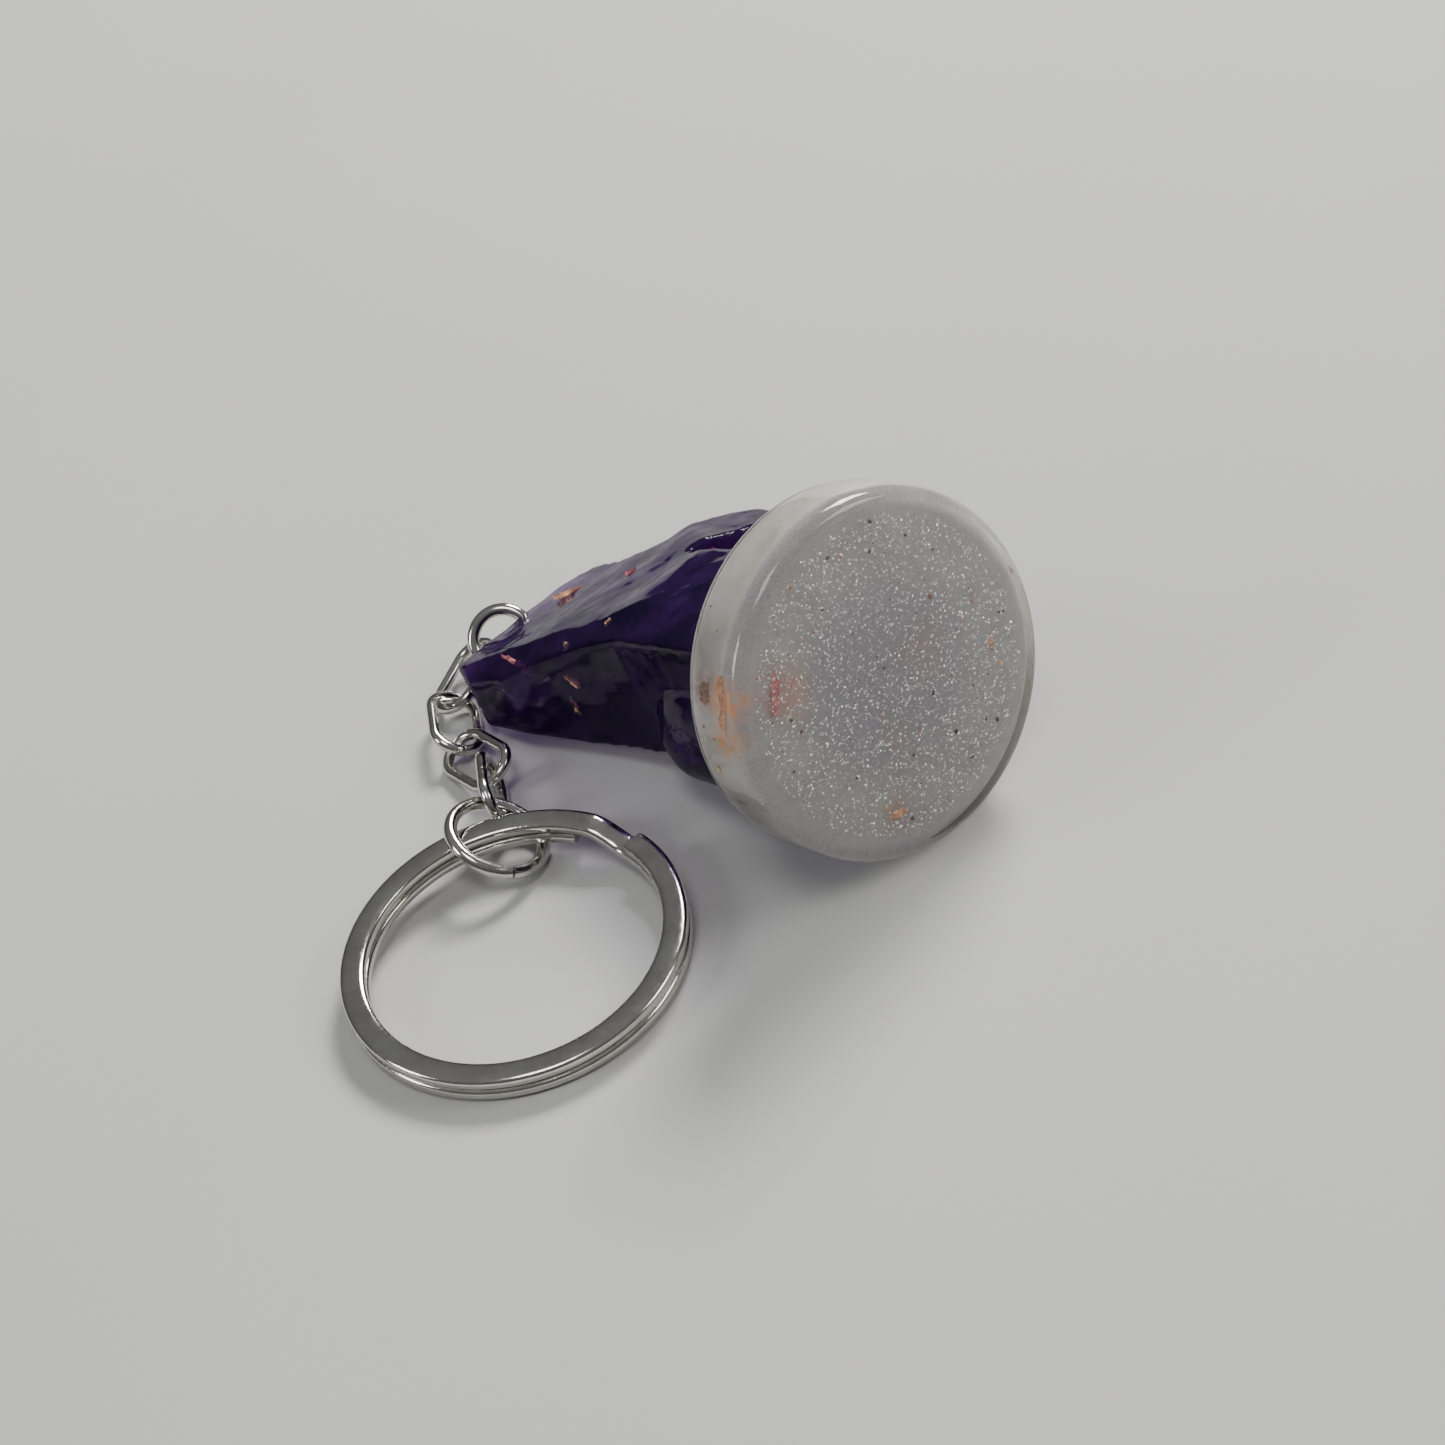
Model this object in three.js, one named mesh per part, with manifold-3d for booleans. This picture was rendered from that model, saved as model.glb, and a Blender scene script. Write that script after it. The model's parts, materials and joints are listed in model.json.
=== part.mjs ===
// Cast resin keychain: a horse-head game piece on a round foot, lying on its side, with a screw eye
// in its crown, four chain links, a jump ring and a split key ring.
// Millimetres, +Z up, origin under the middle of the whole object on the surface that it lies on.
import * as THREE from 'three';
import { mergeVertices } from 'three/addons/utils/BufferGeometryUtils.js';
import Module from 'manifold-3d';

const wasm = await Module();
wasm.setup();

// ---- driving dimensions -------------------------------------------------------------------------
const GAP = 0.3; // between a piece and the pocket it sits in

const BASE_R = 12.5; // foot disc, about as wide as the key ring
const BASE_T = 5.8;
const BASE_BEVEL = 0.85; // the soft edge round the flat face
const POCKET_R = 10.9; // the glitter and the clear face sit in this pocket
const POCKET_D = 1.5;
const CLEAR_T = 0.6;
const GLITTER_T = 0.3;

const COLLAR_TOP = 21.6; // where the neck begins
const LOBE_R = 7.2; // the shoulder lobe beside the neck, half its length
const LOBE_OVAL = 0.64; // its width for its length
const LOBE_LEAN = -34; // degrees; its far end leans to the table
const LOBE_MIDDLE = [-2.5, 1.7, 0];
const LOBE_TOP = 20.8;
const HEAD_TOP = 39.8;

const TILT = THREE.MathUtils.degToRad(17); // the piece's axis below the horizontal, crown down
const HEADING = THREE.MathUtils.degToRad(31.2); // which way the flat face looks, from -Y towards +X

const EYE_WIRE = 1.0;
const EYE_R = 2.25; // middle of the wire
const EYE_SHANK = 5.0;

const LINK_WIRE = 0.85;
const LINK_END_R = 1.725;
const LINK_HALF = 1.45; // half of a link's straight side
const JUMP_WIRE = 1.0;
const JUMP_R = 3.4;
const RING_R = 12.15; // split ring, outside
const RING_WIDE = 1.8; // across the wire, seen from above
const RING_COIL = 0.95; // height of one coil
const RING_TILT = THREE.MathUtils.degToRad(3.1); // it rests on the jump ring's wire

const BUTT = 0.08; // open joint in a bent wire ring

// ---- finishes -----------------------------------------------------------------------------------
const finish = (color, roughness, metalness) =>
  new THREE.MeshStandardMaterial({ color, roughness, metalness });
const violetResin = finish(0x2c1a55, 0.12, 0);
const pearlResin = finish(0xc9c5bf, 0.3, 0);
const glitter = finish(0xb9bdc4, 0.35, 0.6);
const clearResin = finish(0xdadce0, 0.08, 0);
const copperFoil = finish(0xc87850, 0.3, 1);
const nickel = finish(0xb8b6ad, 0.18, 1);

// ---- the piece's own frame ----------------------------------------------------------------------
// Local +Z runs from the flat face up to the crown, local +X to the muzzle, local +Y to the table.
const faceHeight = BASE_T * Math.sin(TILT) + BASE_R * Math.cos(TILT); // flat face's middle, above the table
const pieceFrame = () => {
  const outward = new THREE.Vector3(
    Math.cos(TILT) * Math.sin(HEADING), -Math.cos(TILT) * Math.cos(HEADING), Math.sin(TILT));
  const up = outward.clone().negate();
  const muzzle = new THREE.Vector3(Math.cos(HEADING), Math.sin(HEADING), 0);
  const tableward = new THREE.Vector3().crossVectors(up, muzzle);
  return new THREE.Matrix4().makeBasis(muzzle, tableward, up).setPosition(12.19, -12.8, faceHeight);
};
const PIECE = pieceFrame();

// how far from the axis the table is, at a height z along the piece's axis
const tableDistance = (z) => (faceHeight - z * Math.sin(TILT)) / Math.cos(TILT);

// ---- solids -------------------------------------------------------------------------------------
const solid = (geometry, matrix) => {
  const bare = geometry.index ? geometry.clone() : geometry;
  if (matrix) bare.applyMatrix4(matrix);
  bare.deleteAttribute('normal');
  bare.deleteAttribute('uv');
  const merged = mergeVertices(bare, 1e-4);
  return new wasm.Manifold(new wasm.Mesh({
    numProp: 3,
    vertProperties: new Float32Array(merged.attributes.position.array),
    triVerts: new Uint32Array(merged.index.array),
  }));
};

const geometryOf = (manifold) => {
  const mesh = manifold.getMesh();
  const geometry = new THREE.BufferGeometry();
  geometry.setAttribute('position', new THREE.BufferAttribute(new Float32Array(mesh.vertProperties), 3));
  geometry.setIndex(new THREE.BufferAttribute(new Uint32Array(mesh.triVerts), 1));
  geometry.computeVertexNormals();
  return geometry;
};

// an outline drawn in the plane of u and v, extruded by half on each side of that plane
const prism = (shape, u, v, half, curveSegments = 8) => {
  const w = new THREE.Vector3().crossVectors(u, v);
  const geometry = new THREE.ExtrudeGeometry(shape, { depth: 2 * half, bevelEnabled: false, curveSegments });
  geometry.translate(0, 0, -half);
  return solid(geometry, new THREE.Matrix4().makeBasis(u, v, w));
};

const polygon = (points) => new THREE.Shape(points.map(([x, y]) => new THREE.Vector2(x, y)));

// a turned piece: the profile is given as radius and height
const turned = (profile, segments, widthRatio = 1) => {
  const points = profile.map(([r, z]) => new THREE.Vector2(r, z));
  const geometry = new THREE.LatheGeometry(points, segments).rotateX(Math.PI / 2);
  return solid(geometry, new THREE.Matrix4().makeScale(1, widthRatio, 1));
};

const X = new THREE.Vector3(1, 0, 0);
const Y = new THREE.Vector3(0, 1, 0);
const Z = new THREE.Vector3(0, 0, 1);

// ---- the foot: pearl disc with a pocket for the glitter layer and the clear face ----------------
const pearlDisc = () => {
  const rim = turned([
    [0, POCKET_D],
    [POCKET_R, POCKET_D],
    [POCKET_R, 0],
    [BASE_R - BASE_BEVEL, 0],
    [BASE_R - BASE_BEVEL * 0.35, BASE_BEVEL * 0.3],
    [BASE_R, BASE_BEVEL],
    [BASE_R, BASE_T - 0.3],
    [BASE_R - 0.3, BASE_T],
    [0, BASE_T],
  ], 56);
  return BASE_FOILS.reduce((disc, foil) => disc.subtract(foilSlot(foil)), rim);
};
const clearFace = () => turned([
  [0, 0], [POCKET_R - GAP, 0], [POCKET_R - GAP, CLEAR_T], [0, CLEAR_T],
], 56);
const glitterLayer = () => turned([
  [0, CLEAR_T + GAP],
  [POCKET_R - GAP, CLEAR_T + GAP],
  [POCKET_R - GAP, CLEAR_T + GAP + GLITTER_T],
  [0, CLEAR_T + GAP + GLITTER_T],
], 56);

// ---- the horse head -----------------------------------------------------------------------------
// profile of neck and head, muzzle towards +X
const headProfile = () => {
  const shape = new THREE.Shape();
  shape.moveTo(-6.2, BASE_T + GAP);
  shape.lineTo(-7.2, COLLAR_TOP); // foot of the mane
  shape.quadraticCurveTo(-8.4, 26.5, -11.6, 32.4);
  shape.lineTo(-12.3, 36.4);
  shape.lineTo(-11.2, HEAD_TOP - 0.2); // ear tip
  shape.lineTo(-6.4, HEAD_TOP);
  shape.lineTo(-1.0, HEAD_TOP + 0.9); // crown
  shape.quadraticCurveTo(2.0, HEAD_TOP + 0.8, 2.8, 37.6); // brow
  shape.quadraticCurveTo(3.0, 33.2, 5.6, 31.8); // dip of the nose
  shape.quadraticCurveTo(10.6, 30.6, 11.5, 27.4); // nose
  shape.quadraticCurveTo(11.7, 24.8, 9.6, 24.2); // mouth
  shape.lineTo(3.6, 25.6); // jaw
  shape.quadraticCurveTo(2.8, 23.4, 5.8, COLLAR_TOP - 4); // throat
  shape.lineTo(7.0, BASE_T + GAP); // chest
  return shape;
};
// seen from the front: thick at the neck, thin at the crown, which slopes to the cheek on the table
const CROWN_LOW = 36.6;
const crownHalf = tableDistance(CROWN_LOW) - 0.02;
const headFront = () => polygon([
  [-6.2, BASE_T + GAP], [6.2, BASE_T + GAP], [6.0, COLLAR_TOP - 4], [5.4, COLLAR_TOP + 1], [4.8, 25], [4.3, 29],
  [crownHalf, CROWN_LOW], [-2.0, HEAD_TOP + 1], [-2.5, HEAD_TOP - 1.4],
  [-4.3, 29], [-4.8, 25], [-5.4, COLLAR_TOP + 1], [-6.0, COLLAR_TOP - 4],
]);
// seen from the crown: the mane and the muzzle are narrower than the cheeks
const headPlan = () => polygon([
  [-13, -1.5], [-10.4, -3.0], [-7.4, -4.4], [-3.5, -5.6], [3.5, -5.2], [7.5, -3.4], [11.5, -2.8], [13, -1.4],
  [13, 1.4], [11.5, 2.8], [7.5, 3.4], [3.5, 5.0], [-7.4, 5.4], [-10.4, 3.4], [-13, 1.5],
]);
const head = () => prism(headProfile(), X, Z, 9)
  .intersect(prism(headFront(), Y, Z, 20))
  .intersect(solid(new THREE.ExtrudeGeometry(headPlan(), { depth: 60, bevelEnabled: false })));
const lobe = () => turned([
  [0, BASE_T + GAP],
  [LOBE_R, BASE_T + GAP],
  [LOBE_R, LOBE_TOP - 3.8],
  [LOBE_R - 0.8, LOBE_TOP - 1.4],
  [LOBE_R - 2.6, LOBE_TOP],
  [0, LOBE_TOP],
], 40, LOBE_OVAL).rotate([0, 0, LOBE_LEAN]).translate(LOBE_MIDDLE);
const horseHead = () => {
  const cuts = [shankBore(), eyeRecess(), ...HEAD_FOILS.map(foilSlot)];
  return cuts.reduce((body, cut) => body.subtract(cut), lobe().add(head()));
};

// ---- copper foil --------------------------------------------------------------------------------
// Each flake lies in a slot that is open to the surface on the flake's own -Y side. A flake has a
// place (its middle), its length and width, and its turns about its own Y axis and then Z; a pitch
// lays it flat.
const FOIL_T = 0.25;
const SLOT_REACH = 9;
const HEAD_FOILS = [
  { at: [-0.6, -1.5, 38.8], size: [3.6, 0.7], turn: [-0.26, 0] },
  { at: [-7.2, -2.5, 29.0], size: [1.0, 0.8], turn: [0.9, 0] },
  { at: [-9.0, -1.5, 26.4], size: [0.8, 1.7], turn: [0.3, -0.5] },
  { at: [-8.9, 1.2, 28.4], size: [0.8, 1.8], turn: [0.3, -1.2] },
  { at: [-9.2, -1.6, 33.9], size: [3.2, 0.6], turn: [-0.99, 0] },
  { at: [1.5, -2.5, 32.5], size: [1.3, 0.8], turn: [0.5, 0] },
  { at: [-4.6, -2.9, 26.9], size: [0.9, 0.7], turn: [-0.4, 0] },
  { at: [6.4, -1.4, 29.4], size: [1.2, 0.8], turn: [0.2, 0] },
];
// in the foot, three flakes stand just inside the side wall and three lie under the glitter
const sideFoil = (angle, z, size, lean) => ({
  at: [11.5 * Math.cos(angle), 11.5 * Math.sin(angle), z],
  size,
  turn: [lean, angle + Math.PI / 2],
});
const floorFoil = (x, y, size, lean) => ({
  at: [x, y, POCKET_D + 0.35],
  size,
  turn: [lean, 0],
  pitch: Math.PI / 2,
});
const BASE_FOILS = [
  sideFoil(-Math.PI * 0.85, 4.0, [1.9, 1.3], 0.4),
  sideFoil(-Math.PI * 0.925, 2.6, [0.8, 1.8], 0.1),
  sideFoil(-Math.PI * 0.99, 4.2, [1.0, 0.7], -0.5),
  floorFoil(-7.2, -3.4, [1.6, 2.6], 0.5),
  floorFoil(-3.8, 8.6, [1.9, 0.7], 0.2),
  floorFoil(8.3, 2.8, [0.6, 0.5], 0.7),
];
const foilMatrix = ({ at, turn, pitch = 0 }) => new THREE.Matrix4()
  .makeTranslation(...at)
  .multiply(new THREE.Matrix4().makeRotationX(pitch))
  .multiply(new THREE.Matrix4().makeRotationZ(turn[1]))
  .multiply(new THREE.Matrix4().makeRotationY(turn[0]));
// a flake: a thin sheet with torn corners
const foilFlake = (foil) => {
  const [long, wide] = foil.size.map((side) => side / 2);
  const torn = polygon([[-long, -wide], [long, -wide * 0.7], [long * 0.8, wide], [-long * 0.5, wide * 0.8]]);
  return prism(torn, X, Z, FOIL_T / 2).transform(foilMatrix(foil).toArray());
};
const foilSlot = (foil) => {
  const [long, wide] = foil.size.map((side) => side / 2 + GAP);
  const opening = polygon([[-long, -wide], [long, -wide], [long, wide], [-long, wide]]);
  const back = FOIL_T / 2 + GAP;
  const half = (SLOT_REACH + back) / 2;
  return prism(opening, X, Z, half).translate([0, back - half, 0]).transform(foilMatrix(foil).toArray());
};

// ---- bent wire ----------------------------------------------------------------------------------
const wireSection = (diameter, sides) => polygon(Array.from({ length: sides }, (_, i) => {
  const angle = (2 * Math.PI * (i + 0.5)) / sides;
  return [(diameter / 2) * Math.cos(angle), (diameter / 2) * Math.sin(angle)];
}));

// a flat oval in XY, long side along X, with round ends and an open joint in one side
class OvalPath extends THREE.Curve {
  constructor(halfStraight, endRadius) {
    super();
    this.halfStraight = halfStraight;
    this.endRadius = endRadius;
    this.length = 4 * halfStraight + 2 * Math.PI * endRadius;
  }

  getPoint(t, target = new THREE.Vector3()) {
    const { halfStraight: half, endRadius: r, length } = this;
    let s = BUTT / 2 + t * (length - BUTT);
    if (s < half) return target.set(s, -r, 0);
    s -= half;
    if (s < Math.PI * r) return target.set(half + r * Math.sin(s / r), -r * Math.cos(s / r), 0);
    s -= Math.PI * r;
    if (s < 2 * half) return target.set(half - s, r, 0);
    s -= 2 * half;
    if (s < Math.PI * r) return target.set(-half - r * Math.sin(s / r), r * Math.cos(s / r), 0);
    return target.set(-half + s - Math.PI * r, -r, 0);
  }
}
const bentWire = (halfStraight, endRadius, wire, steps) => new THREE.ExtrudeGeometry(wireSection(wire, 8), {
  steps,
  bevelEnabled: false,
  extrudePath: new OvalPath(halfStraight, endRadius),
});
const chainLink = () => bentWire(LINK_HALF, LINK_END_R, LINK_WIRE, 36);
const jumpRing = () => bentWire(0, JUMP_R, JUMP_WIRE, 40);

// the split ring: two coils lying on each other, the wire stepping down between its own two ends
const COIL_GAP = 0.1;
const COIL_START = THREE.MathUtils.degToRad(32); // where the upper coil's end stands
const ENDS_APART = THREE.MathUtils.degToRad(26);
const STEP_ANGLE = THREE.MathUtils.degToRad(17);
const STEP_END = THREE.MathUtils.degToRad(356); // turned this far, the wire is down on the lower level
class SplitPath extends THREE.Curve {
  getPoint(t, target = new THREE.Vector3()) {
    const turnedSoFar = t * (4 * Math.PI - ENDS_APART);
    const angle = COIL_START - turnedSoFar;
    const radius = RING_R - RING_WIDE / 2;
    const step = THREE.MathUtils.smoothstep(turnedSoFar, STEP_END - STEP_ANGLE, STEP_END);
    const height = RING_COIL * 1.5 + COIL_GAP - step * (RING_COIL + COIL_GAP);
    return target.set(radius * Math.cos(angle), radius * Math.sin(angle), height);
  }
}
const splitRing = () => {
  const [high, wide] = [RING_COIL / 2, RING_WIDE / 2];
  const section = polygon([
    [-high, -wide * 0.65], [-high * 0.6, -wide], [high * 0.6, -wide], [high, -wide * 0.65],
    [high, wide * 0.65], [high * 0.6, wide], [-high * 0.6, wide], [-high, wide * 0.65],
  ]);
  return new THREE.ExtrudeGeometry(section, { steps: 132, bevelEnabled: false, extrudePath: new SplitPath() });
};

// ---- screw eye ----------------------------------------------------------------------------------
// its loop lies in the local XY plane and its shank runs out along +X
const eyeLoop = (wire) => solid(new THREE.TorusGeometry(EYE_R, wire / 2, 8, 28));
const eyeShank = (wire, length) => {
  const shank = new THREE.CylinderGeometry(wire / 2, wire / 2, length, 10).rotateZ(Math.PI / 2);
  return solid(shank.translate(EYE_R + length / 2, 0, 0));
};
const screwEye = () => eyeLoop(EYE_WIRE).add(eyeShank(EYE_WIRE, EYE_SHANK));
const shankBore = () => eyeShank(EYE_WIRE + 2 * GAP, EYE_SHANK + GAP).transform(eyeInPiece().toArray());
const eyeRecess = () => eyeLoop(EYE_WIRE + 2 * GAP).transform(eyeInPiece().toArray());

// ---- where the loose pieces lie -----------------------------------------------------------------
// A wire piece's place is its middle, the direction of its long side, and the normal of its plane.
const lie = ({ at, along, normal }) => {
  const x = new THREE.Vector3(...along).normalize();
  const given = new THREE.Vector3(...normal);
  const z = given.addScaledVector(x, -given.dot(x)).normalize();
  const y = new THREE.Vector3().crossVectors(z, x);
  return new THREE.Matrix4().makeBasis(x, y, z).setPosition(...at);
};
const EYE_PLACE = { at: [-13.6, 17.59, 2.84], along: [0.94, -0.3, -0.17], normal: [0.106, 0.719, -0.687] };
const LINK_PLACES = [
  { at: [-17.08, 16.15, 1.62], along: [-0.624, -0.751, -0.217], normal: [0.372, -0.042, -0.927] },
  { at: [-18.54, 11.28, 1.38], along: [-0.03, -1, 0], normal: [0.54, -0.022, 0.841] },
  { at: [-17.47, 6.27, 1.5], along: [0.479, -0.865, 0.148], normal: [-0.403, -0.067, 0.913] },
  { at: [-16.6, 1.5, 2.36], along: [-0.03, -0.993, 0.118], normal: [0.98, -0.006, 0.198] },
];
const JUMP_PLACE = { at: [-17.0, -3.61, 2.3], along: [0.847, 0.201, -0.492], normal: [0.515, -0.081, 0.853] };
const RING_MIDDLE = [-17.3, -14.35];
const eyeInPiece = () => PIECE.clone().invert().multiply(lie(EYE_PLACE));
// the split ring's far edge is on the table, its near side lifted by the jump ring's wire
const ringPlace = () => new THREE.Matrix4()
  .makeTranslation(RING_MIDDLE[0], RING_MIDDLE[1] - RING_R, 0)
  .multiply(new THREE.Matrix4().makeRotationX(RING_TILT))
  .multiply(new THREE.Matrix4().makeTranslation(0, RING_R, 0));

// ---- the assembly -------------------------------------------------------------------------------
const mesh = (name, geometry, material, matrix) => {
  const node = new THREE.Mesh(geometry, material);
  node.name = name;
  if (matrix) node.applyMatrix4(matrix);
  return node;
};
const piece = new THREE.Group();
piece.applyMatrix4(PIECE);
piece.add(
  mesh('base_disc', geometryOf(pearlDisc()), pearlResin),
  mesh('clear_face', geometryOf(clearFace()), clearResin),
  mesh('glitter_layer', geometryOf(glitterLayer()), glitter),
  mesh('horse_head', geometryOf(horseHead()), violetResin),
);
HEAD_FOILS.forEach((foil, i) => {
  piece.add(mesh(`head_foil_${i + 1}`, geometryOf(foilFlake(foil)), copperFoil));
});
BASE_FOILS.forEach((foil, i) => {
  piece.add(mesh(`base_foil_${i + 1}`, geometryOf(foilFlake(foil)), copperFoil));
});
piece.add(mesh('screw_eye', geometryOf(screwEye()), nickel, eyeInPiece()));

const loose = new THREE.Group();
LINK_PLACES.forEach((place, i) => {
  loose.add(mesh(`chain_link_${i + 1}`, chainLink(), nickel, lie(place)));
});
loose.add(mesh('jump_ring', jumpRing(), nickel, lie(JUMP_PLACE)));
loose.add(mesh('split_ring', splitRing(), nickel, ringPlace()));

const keychain = new THREE.Group();
keychain.add(piece, loose);
keychain.updateMatrixWorld(true);
const box = new THREE.Box3().setFromObject(keychain, true);
const middle = box.getCenter(new THREE.Vector3());
keychain.position.set(-middle.x, -middle.y, -box.min.z);

export default keychain;
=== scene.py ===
import bmesh
import bpy
import json
import math
import random
from mathutils import Matrix, Vector, noise
from mathutils.bvhtree import BVHTree

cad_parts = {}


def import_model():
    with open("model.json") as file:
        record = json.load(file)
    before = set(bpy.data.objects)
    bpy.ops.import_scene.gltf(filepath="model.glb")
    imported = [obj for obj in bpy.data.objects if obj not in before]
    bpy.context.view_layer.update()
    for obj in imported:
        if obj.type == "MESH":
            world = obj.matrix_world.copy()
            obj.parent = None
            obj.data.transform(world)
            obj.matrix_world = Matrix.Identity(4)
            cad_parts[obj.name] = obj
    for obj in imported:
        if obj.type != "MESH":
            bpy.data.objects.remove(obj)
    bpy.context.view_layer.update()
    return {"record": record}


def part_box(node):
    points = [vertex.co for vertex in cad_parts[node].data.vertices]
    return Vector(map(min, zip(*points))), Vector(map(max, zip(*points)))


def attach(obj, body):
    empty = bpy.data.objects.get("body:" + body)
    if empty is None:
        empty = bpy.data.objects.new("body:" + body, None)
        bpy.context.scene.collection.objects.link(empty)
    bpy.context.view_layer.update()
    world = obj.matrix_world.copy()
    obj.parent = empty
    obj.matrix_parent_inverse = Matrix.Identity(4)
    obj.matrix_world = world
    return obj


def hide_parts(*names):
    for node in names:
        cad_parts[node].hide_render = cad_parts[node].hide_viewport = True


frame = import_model()
record = frame["record"]
MM = 0.001

# ---- where things are ---------------------------------------------------------------------------
# The foot's flat face is the record's mount. The piece's own frame has its origin in the middle of
# that face: X to the muzzle, Y to the table, Z from the face to the crown, in millimetres.
mount = record["mounts"][0]
outward = Vector(mount["axis"]).normalized()
face_at = Vector(mount["pos_m"])
up = -outward
muzzle = Vector((0, 0, 1)).cross(outward).normalized()
tableward = up.cross(muzzle)
PIECE = (Matrix.Translation(face_at) @ Matrix((muzzle, tableward, up)).transposed().to_4x4()
         @ Matrix.Scale(MM, 4))
FACE_MM = Vector((12.19, -12.8, 13.65))  # the same point before the model was centred


def world(at):
    """A place given in millimetres before centring, in metres in the frame."""
    return face_at + (Vector(at) - FACE_MM) * MM


def lying(at, along, normal):
    """A loose wire piece: its middle, its long side's direction and its plane's normal."""
    x = Vector(along).normalized()
    z = Vector(normal)
    z = (z - z.dot(x) * x).normalized()
    y = z.cross(x)
    turned = Matrix((x, y, z)).transposed().to_4x4()
    return Matrix.Translation(world(at)) @ turned @ Matrix.Scale(MM, 4)


EYE_PLACE = lying([-13.6, 17.59, 2.84], [0.94, -0.3, -0.17], [0.106, 0.719, -0.687])
LINK_PLACES = [
    lying([-17.08, 16.15, 1.62], [-0.624, -0.751, -0.217], [0.372, -0.042, -0.927]),
    lying([-18.54, 11.28, 1.38], [-0.03, -1, 0], [0.54, -0.022, 0.841]),
    lying([-17.47, 6.27, 1.5], [0.479, -0.865, 0.148], [-0.403, -0.067, 0.913]),
    lying([-16.6, 1.5, 2.36], [-0.03, -0.993, 0.118], [0.98, -0.006, 0.198]),
]
JUMP_PLACE = lying([-17.0, -3.61, 2.3], [0.847, 0.201, -0.492], [0.515, -0.081, 0.853])

# ---- sizes, in millimetres ----------------------------------------------------------------------
BASE_R, BASE_T, POCKET_R = 12.5, 5.8, 10.9
CORE_R, CORE_FACE, CORE_BACK = 12.2, 1.3, 5.5
RIM_LEAF_R, RIM_SPECK_R = 12.28, 12.32  # between the core and the skin of the side wall
FACE_LEAF_Z, FACE_SPECK_Z = 1.1, 1.05  # just under the glitter
GLITTER_FLAKES, STRAY_SPECKS = 4600, 150
COLLAR_TOP = 21.6  # where the neck begins
EYE_R, EYE_WIRE = 2.25, 1.0
LINK_HALF, LINK_END_R, LINK_WIRE = 1.45, 1.725, 0.85
JUMP_R, JUMP_WIRE = 3.4, 1.0
RING_R, RING_WIDE, RING_COIL, COIL_GAP = 12.15, 1.8, 0.95, 0.1
RING_TILT = math.radians(3.1)  # it rests on the jump ring's wire
RING_PLACE = (
    Matrix.Translation(world([-17.3, -14.35 - RING_R, 0]))
    @ Matrix.Rotation(RING_TILT, 4, "X")
    @ Matrix.Scale(MM, 4)
    @ Matrix.Translation((0, RING_R, 0))
)


# ---- node materials -----------------------------------------------------------------------------
class Nodes:
    """A material being built: its node tree with short ways to add nodes and values."""

    def __init__(self, name):
        self.material = bpy.data.materials.new(name)
        self.material.use_nodes = True
        self.tree = self.material.node_tree
        self.tree.nodes.clear()
        self.out = self.add("OutputMaterial")
        self.coords = self.add("TexCoord").outputs["Object"]

    def add(self, kind, **inputs):
        node = self.tree.nodes.new("ShaderNode" + kind)
        for key, value in inputs.items():
            self.put(node.inputs[key.replace("_", " ")], value)
        return node

    def put(self, socket, value):
        if isinstance(value, bpy.types.NodeSocket):
            self.tree.links.new(value, socket)
        else:
            socket.default_value = value

    def noise(self, scale, detail=3.0, roughness=0.5, distortion=0.0):
        node = self.add("TexNoise", Vector=self.coords, Scale=scale, Detail=detail,
                        Roughness=roughness, Distortion=distortion)
        return node.outputs["Fac"]

    def ramp(self, value, *stops):
        node = self.add("ValToRGB", Fac=value)
        elements = node.color_ramp.elements
        while len(elements) < len(stops):
            elements.new(0.5)
        for element, (at, colour) in zip(elements, stops):
            element.position = at
            element.color = (*colour, 1) if isinstance(colour, tuple) else (colour, colour, colour, 1)
        return node.outputs["Color"]

    def range(self, value, low, high, start=0.3, stop=0.7):
        node = self.add("MapRange", Value=value)
        for key, number in (("From Min", start), ("From Max", stop), ("To Min", low), ("To Max", high)):
            node.inputs[key].default_value = number
        return node.outputs["Result"]

    def vector(self, how, first, second=None):
        node = self.add("VectorMath")
        node.operation = how
        self.put(node.inputs[0], first)
        if second is not None:
            self.put(node.inputs[1], second)
        return node.outputs["Value" if how in ("LENGTH", "DOT_PRODUCT") else "Vector"]

    def math(self, how, first, second):
        node = self.add("Math")
        node.operation = how
        self.put(node.inputs[0], first)
        self.put(node.inputs[1], second)
        return node.outputs["Value"]

    def mix(self, amount, first, second):
        node = self.add("Mix")
        node.data_type = "RGBA"
        for socket, value in ((0, amount), (6, first), (7, second)):
            self.put(node.inputs[socket], value)
        return node.outputs[2]

    def bump(self, height, strength, distance, under=None):
        node = self.add("Bump", Height=height, Strength=strength, Distance=distance)
        if under is not None:
            self.put(node.inputs["Normal"], under)
        return node.outputs["Normal"]

    def principled(self, **inputs):
        shader = self.add("BsdfPrincipled")
        for key, value in inputs.items():
            self.put(shader.inputs[key.replace("_", " ")], value)
        return shader.outputs["BSDF"]

    def surface(self, shader, shadow_tint=None):
        """Sets the surface; a clear one lets light through to what is cast inside it."""
        if shadow_tint:
            see_through = self.add("BsdfTransparent", Color=(*shadow_tint, 1)).outputs["BSDF"]
            mix = self.add("MixShader")
            self.put(mix.inputs[0], self.add("LightPath").outputs["Is Shadow Ray"])
            self.put(mix.inputs[1], shader)
            self.put(mix.inputs[2], see_through)
            shader = mix.outputs[0]
        self.put(self.out.inputs["Surface"], shader)
        return self.material

    def absorb(self, colour, density):
        volume = self.add("VolumeAbsorption", Color=(*colour, 1), Density=density)
        self.put(self.out.inputs["Volume"], volume.outputs["Volume"])


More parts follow.
